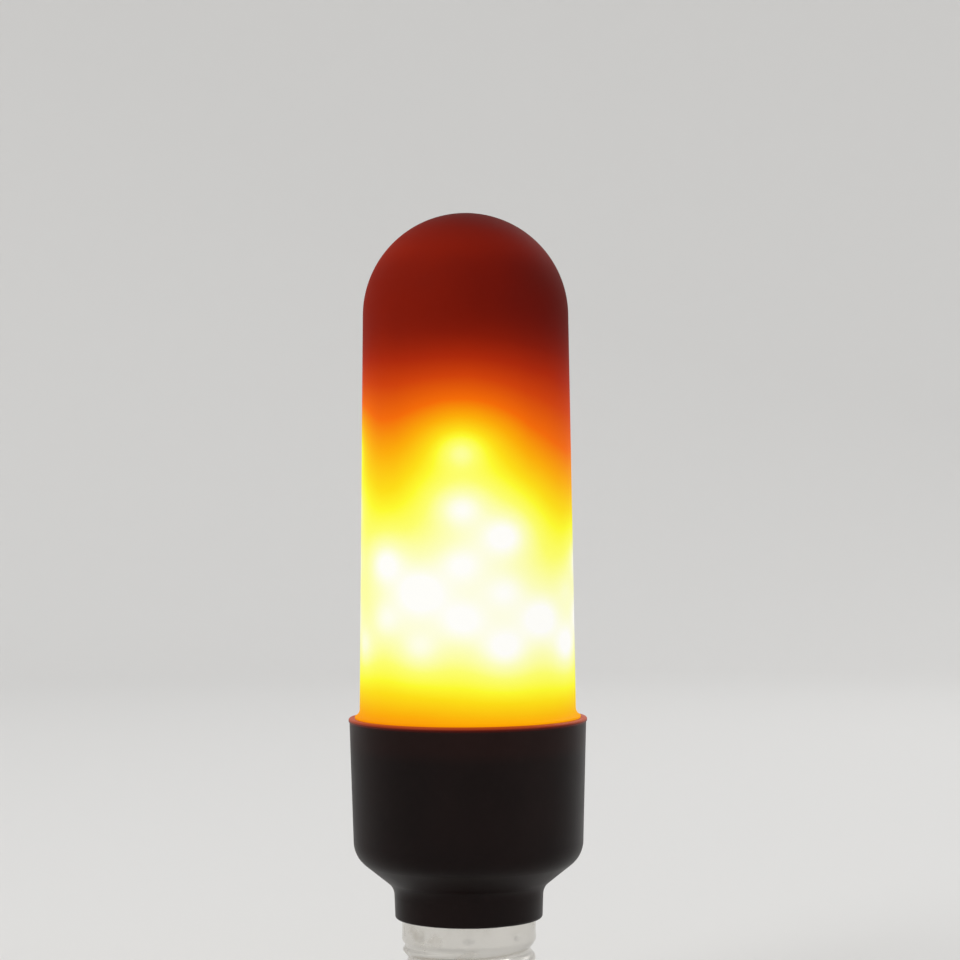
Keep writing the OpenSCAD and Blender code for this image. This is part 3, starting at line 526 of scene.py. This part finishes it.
# %% [markdown]
# ## Metals
# Nickel plate is a warm grey mirror that rolling has brushed round the axis, and fingers have dulled in
# blotches. The same recipe, with another colour and roughness, makes the brass contact, the screws' zinc and
# the tinned wires.

# %% Metal materials
def metal(name, colour, dull, roughness, rings_per_m=9000, depth=0.02):
    made, tree, shader = new_material(name)
    marks = use(tree, RINGS, Rings_per_m=rings_per_m)
    tarnish = calc(tree, "MULTIPLY", marks["Tarnish"], 0.55)
    mixed = add(tree, "ShaderNodeMix", {"Factor": tarnish, "A": colour, "B": dull}, data_type="RGBA")
    tree.links.new(mixed.outputs["Result"], shader.inputs["Base Color"])
    shader.inputs["Metallic"].default_value = 1.0
    rough = calc(tree, "MULTIPLY_ADD", marks["Rings"], 0.12, roughness - 0.06)
    tree.links.new(calc(tree, "MULTIPLY_ADD", tarnish, 0.2, rough), shader.inputs["Roughness"])
    tree.links.new(bump(tree, marks["Rings"], 0.35, depth * MM), shader.inputs["Normal"])
    return made


nickel = metal("nickel_plate", (0.74, 0.72, 0.68, 1), (0.5, 0.46, 0.4, 1), 0.24)
brass = metal("contact_brass", (0.72, 0.58, 0.32, 1), (0.42, 0.32, 0.18, 1), 0.34)
zinc = metal("screw_steel", (0.62, 0.62, 0.64, 1), (0.42, 0.41, 0.4, 1), 0.36)
finish_with(shell, nickel)
for name, material in {
    "centre_contact": brass, "tilt_switch": brass, "plate_screws": zinc, "top_jumpers": zinc,
}.items():
    finish_with(nodes[name], material)

# %% [markdown]
# ## Plastics and coatings
# The other pieces are moulded or coated in one colour each. A table names the node, the colour and the
# gloss, and one function makes the material, with a drift of shade and a grain in the size of the piece.

# %% Plastic materials
def plastic(name, colour, roughness, grain_per_m=3000, grain_depth=0.03, specular=0.4):
    made, tree, shader = new_material(name)
    grain = use(tree, GRAIN, Drift_per_m=140, Grain_per_m=grain_per_m)
    tree.links.new(shade(tree, (*colour, 1), grain["Drift"], 0.95, 1.03), shader.inputs["Base Color"])
    low, high = roughness - 0.05, roughness + 0.05
    tree.links.new(span(tree, grain["Drift"], 0.3, 0.7, low, high), shader.inputs["Roughness"])
    shader.inputs["Specular IOR Level"].default_value = specular
    tree.links.new(bump(tree, grain["Grain"], 0.3, grain_depth * MM), shader.inputs["Normal"])
    return made


white_plastic = plastic("white_plastic", (0.86, 0.86, 0.84), 0.5)
moulding_black = plastic("chip_black", (0.035, 0.035, 0.04), 0.55, 6000)
sleeve = plastic("capacitor_sleeve", (0.05, 0.07, 0.18), 0.28)
for name, material in {
    "cap_insulator": plastic("black_insulator", (0.018, 0.018, 0.02), 0.3, 2400),
    "base_plate": white_plastic, "core_tube": white_plastic, "ribbon_socket": white_plastic,
    "input_capacitor": sleeve, "output_capacitor": sleeve,
    "film_capacitor": plastic("film_red", (0.52, 0.06, 0.04), 0.3),
    "choke": moulding_black, "row_transistors": moulding_black, "chip_resistors": moulding_black,
    "fusible_resistor": plastic("resistor_green", (0.16, 0.36, 0.2), 0.6),
    "live_lead": plastic("lead_red", (0.55, 0.04, 0.03), 0.4),
    "neutral_lead": plastic("lead_black", (0.03, 0.03, 0.035), 0.4),
}.items():
    finish_with(nodes[name], material)

# %% [markdown]
# ## Ribbon and chips
# The ribbon is a row of insulated wires that are joined side by side, so a groove lies between each two. The
# chips have tinned legs, which reach past the black package at both ends, so the distance from the middle of
# the chip says where the metal starts.

# %% Ribbon and chip materials
WIRE_PITCH = 1.0 * MM
LEG_REACH = 0.9 * MM
TIN = (0.66, 0.66, 0.67, 1)
PACKAGE = (0.035, 0.035, 0.04, 1)


def grooved_ribbon():
    made, tree, shader = new_material("ribbon_grey")
    turn_of_wire = calc(tree, "MULTIPLY", place_axes(tree)["X"], math.pi / WIRE_PITCH)
    height = calc(tree, "ABSOLUTE", calc(tree, "SINE", turn_of_wire))
    grey = (0.42, 0.42, 0.44, 1)
    # Painted shade: the grey is darkened towards 0.6 of itself in each groove between the wires.
    tree.links.new(shade(tree, grey, height, 0.6, 1.05), shader.inputs["Base Color"])
    shader.inputs["Roughness"].default_value = 0.45
    tree.links.new(bump(tree, height, 0.8, 0.2 * MM), shader.inputs["Normal"])
    return made


def legged_chip(node):
    low, high = (corner.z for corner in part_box(node))
    made, tree, shader = new_material(node + "_package")
    from_middle = calc(tree, "ABSOLUTE", calc(tree, "SUBTRACT", place_axes(tree)["Z"], (low + high) / 2))
    legs = calc(tree, "GREATER_THAN", from_middle, (high - low) / 2 - LEG_REACH)
    mixed = add(tree, "ShaderNodeMix", {"Factor": legs, "A": PACKAGE, "B": TIN}, data_type="RGBA")
    tree.links.new(mixed.outputs["Result"], shader.inputs["Base Color"])
    tree.links.new(legs, shader.inputs["Metallic"])
    tree.links.new(span(tree, legs, 0.0, 1.0, 0.55, 0.3), shader.inputs["Roughness"])
    grain = use(tree, GRAIN, Grain_per_m=6000)
    tree.links.new(bump(tree, grain["Grain"], 0.3, 0.03 * MM), shader.inputs["Normal"])
    return made


finish_with(nodes["led_ribbon"], grooved_ribbon())
for name in ("bridge_rectifier", "driver_chip", "controller_chip"):
    finish_with(nodes[name], legged_chip(name))

# %% [markdown]
# ## Circuit boards and LEDs
# A board is glass fibre under a coat of solder mask. The copper tracks lie under the mask and show as
# slightly lighter, raised lines. The board's plane is cut into a grid, and a chance for each cell says
# whether a track runs up through it, across it, or ends there in a round pad. Where the board is rolled up,
# the grid goes round the axis with it. An LED is a white package with a round window of yellow phosphor.
# The window's floor lies a little deeper than the package's face, and the distance of a face along its own
# normal tells the two apart.

# %% Board and LED materials
WINDOW_DEPTH = 0.12 * MM
GRID = 1.3 * MM
TRACK_SHARE, PAD_SHARE = 0.14, 0.3


def vector_calc(tree, operation, *vectors):
    return add(tree, "ShaderNodeVectorMath", dict(enumerate(vectors)), operation=operation).outputs


def chance(tree, cell, shift, share):
    """A mask that is 1 in about that share of the cells. Another shift picks other cells."""
    moved = vector_calc(tree, "ADD", cell, (shift, shift, 0))[0]
    drawn = add(tree, "ShaderNodeTexWhiteNoise", {"Vector": moved}, noise_dimensions="2D").outputs["Value"]
    return calc(tree, "LESS_THAN", drawn, share)


def tracks_on(tree, flat):
    """Tracks that run along a grid, and pads where a track ends or turns."""
    scaled = vector_calc(tree, "SCALE", flat)[0]
    scaled.node.inputs["Scale"].default_value = 1 / GRID
    cell = vector_calc(tree, "FLOOR", scaled)[0]
    middle = vector_calc(tree, "SUBTRACT", vector_calc(tree, "FRACTION", scaled)[0], (0.5, 0.5, 0))[0]
    off = axes(tree, middle)
    near_x, near_y = (
        calc(tree, "LESS_THAN", calc(tree, "ABSOLUTE", off[axis]), TRACK_SHARE) for axis in "XY"
    )
    upright = both(tree, near_x, chance(tree, cell, 3, 0.55))
    level = both(tree, near_y, chance(tree, cell, 11, 0.3))
    inside = calc(tree, "LESS_THAN", vector_calc(tree, "LENGTH", middle)["Value"], PAD_SHARE)
    pad = both(tree, inside, chance(tree, cell, 29, 0.18))
    return calc(tree, "MAXIMUM", pad, calc(tree, "MAXIMUM", upright, level))


def solder_mask(name, mask, tracks, rolled):
    made, tree, shader = new_material(name)
    along = place_axes(tree)
    if rolled:
        bearing = calc(tree, "ARCTAN2", along["Y"], along["X"])
        across = calc(tree, "MULTIPLY", bearing, led_face * MM)
    else:
        across = along["X"]
    flat = add(tree, "ShaderNodeCombineXYZ", {"X": across, "Y": along["Z"]}).outputs[0]
    net = tracks_on(tree, flat)
    mixed = add(tree, "ShaderNodeMix", {"Factor": net, "A": mask, "B": tracks}, data_type="RGBA")
    tree.links.new(mixed.outputs["Result"], shader.inputs["Base Color"])
    shader.inputs["Roughness"].default_value = 0.35
    tree.links.new(bump(tree, net, 0.4, 0.05 * MM), shader.inputs["Normal"])
    return made


def level_mask(tree, value, level):
    """1 where the value lies within half a window's depth of the level."""
    near = {0: value, 1: level, 2: WINDOW_DEPTH / 2}
    return add(tree, "ShaderNodeMath", near, operation="COMPARE").outputs[0]


def led_phosphor():
    made, tree, shader = new_material("led_phosphor")
    along = place_axes(tree)
    facing = axes(tree, add(tree, "ShaderNodeNewGeometry").outputs["True Normal"])
    out_x, out_y = (calc(tree, "MULTIPLY", facing[axis], along[axis]) for axis in "XY")
    side = level_mask(tree, calc(tree, "ADD", out_x, out_y), led_face * MM - WINDOW_DEPTH)
    up = calc(tree, "GREATER_THAN", facing["Z"], 0.5)
    top = both(tree, up, level_mask(tree, along["Z"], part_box("top_leds")[1].z - WINDOW_DEPTH))
    window = calc(tree, "MAXIMUM", side, top)
    mixed = add(tree, "ShaderNodeMix", {
        "Factor": window, "A": (0.86, 0.85, 0.8, 1), "B": (0.95, 0.62, 0.08, 1),
    }, data_type="RGBA")
    tree.links.new(mixed.outputs["Result"], shader.inputs["Base Color"])
    shader.inputs["Roughness"].default_value = 0.4
    return made


board_white = solder_mask("board_white", (0.84, 0.83, 0.78, 1), (0.93, 0.91, 0.84, 1), True)
phosphor = led_phosphor()
for name, material in {
    "led_flex_board": board_white, "top_led_board": board_white,
    "driver_board": solder_mask("board_green", (0.03, 0.2, 0.07, 1), (0.07, 0.34, 0.12, 1), False),
    "side_leds": phosphor, "top_leds": phosphor,
}.items():
    finish_with(nodes[name], material)

# %% [markdown]
# ## Floor and light
# The bulb stands on a plain pale floor that curves up into a wall all round, as the paper in a studio does,
# so no horizon cuts through the picture from any side. The paper lets the view through from behind and
# below, which leaves the contact open to inspection. An even sky and three soft area lamps light the bulb at
# a level at which a colour renders about as it is written.

# %% Stage and lights
PALE = (0.74, 0.735, 0.725, 1)
FLOOR_R, COVE_R, WALL_TOP = 1.5, 0.5, 0.7
SKY = 0.8


def pale_floor():
    low = cad_box[0].z
    cove = arc((FLOOR_R - COVE_R, low + COVE_R), COVE_R, -90, 0, 24)
    floor = turn("floor", [(0, low)] + cove + [(FLOOR_R, WALL_TOP)], 96)
    floor.data.flip_normals()
    floor.data.shade_smooth()
    made, tree, shader = new_material("floor_paper")
    shader.inputs["Base Color"].default_value = PALE
    shader.inputs["Roughness"].default_value = 0.9
    shader.inputs["Specular IOR Level"].default_value = 0.1
    behind = add(tree, "ShaderNodeNewGeometry").outputs["Backfacing"]
    clear = add(tree, "ShaderNodeBsdfTransparent").outputs[0]
    mixed = add(tree, "ShaderNodeMixShader", {0: behind, 1: shader.outputs[0], 2: clear})
    tree.links.new(mixed.outputs[0], tree.nodes["Material Output"].inputs["Surface"])
    finish_with(floor, made)
    floor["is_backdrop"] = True
    return floor


def sky():
    world = bpy.data.worlds.new("sky")
    bpy.context.scene.world = world
    world.use_nodes = True
    tree = world.node_tree
    path = add(tree, "ShaderNodeLightPath").outputs
    seen = calc(tree, "MAXIMUM", path["Is Camera Ray"], path["Is Glossy Ray"])
    seen = calc(tree, "MAXIMUM", seen, path["Is Transmission Ray"])
    light = add(tree, "ShaderNodeBackground", {"Color": (1, 1, 1, 1), "Strength": SKY}).outputs[0]
    picture = add(tree, "ShaderNodeBackground", {"Color": PALE, "Strength": 1.0}).outputs[0]
    mixed = add(tree, "ShaderNodeMixShader", {0: seen, 1: light, 2: picture})
    tree.links.new(mixed.outputs[0], tree.nodes["World Output"].inputs["Surface"])


def lamp(name, place, size, watts):
    data = bpy.data.lights.new(name, "AREA")
    data.shape, data.size, data.energy = "DISK", size, watts
    made = bpy.data.objects.new(name, data)
    made.location = place
    aim = Vector((0, 0, 0.09)) - made.location
    made.rotation_euler = aim.to_track_quat("-Z", "Y").to_euler()
    bpy.context.scene.collection.objects.link(made)


floor = pale_floor()
sky()
lamp("key", Vector((-0.75, -0.7, 0.85)), 0.6, 4.2)
lamp("fill", Vector((0.9, -0.5, 0.45)), 0.7, 1.8)
lamp("back", Vector((0.5, 0.8, 0.7)), 0.6, 1.4)
bpy.context.scene.view_settings.view_transform = "Standard"
print("floor faces up:", floor.data.polygons[0].normal.z > 0)

# %% [markdown]
# ## Finish
# The sizes of the CAD model and of the dressed model are written side by side.

# %% Sizes and finish
shown_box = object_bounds()
for label, corners in (("CAD", cad_box), ("shown", shown_box)):
    print(label, [round((high - low) / MM, 2) for low, high in zip(*corners)])
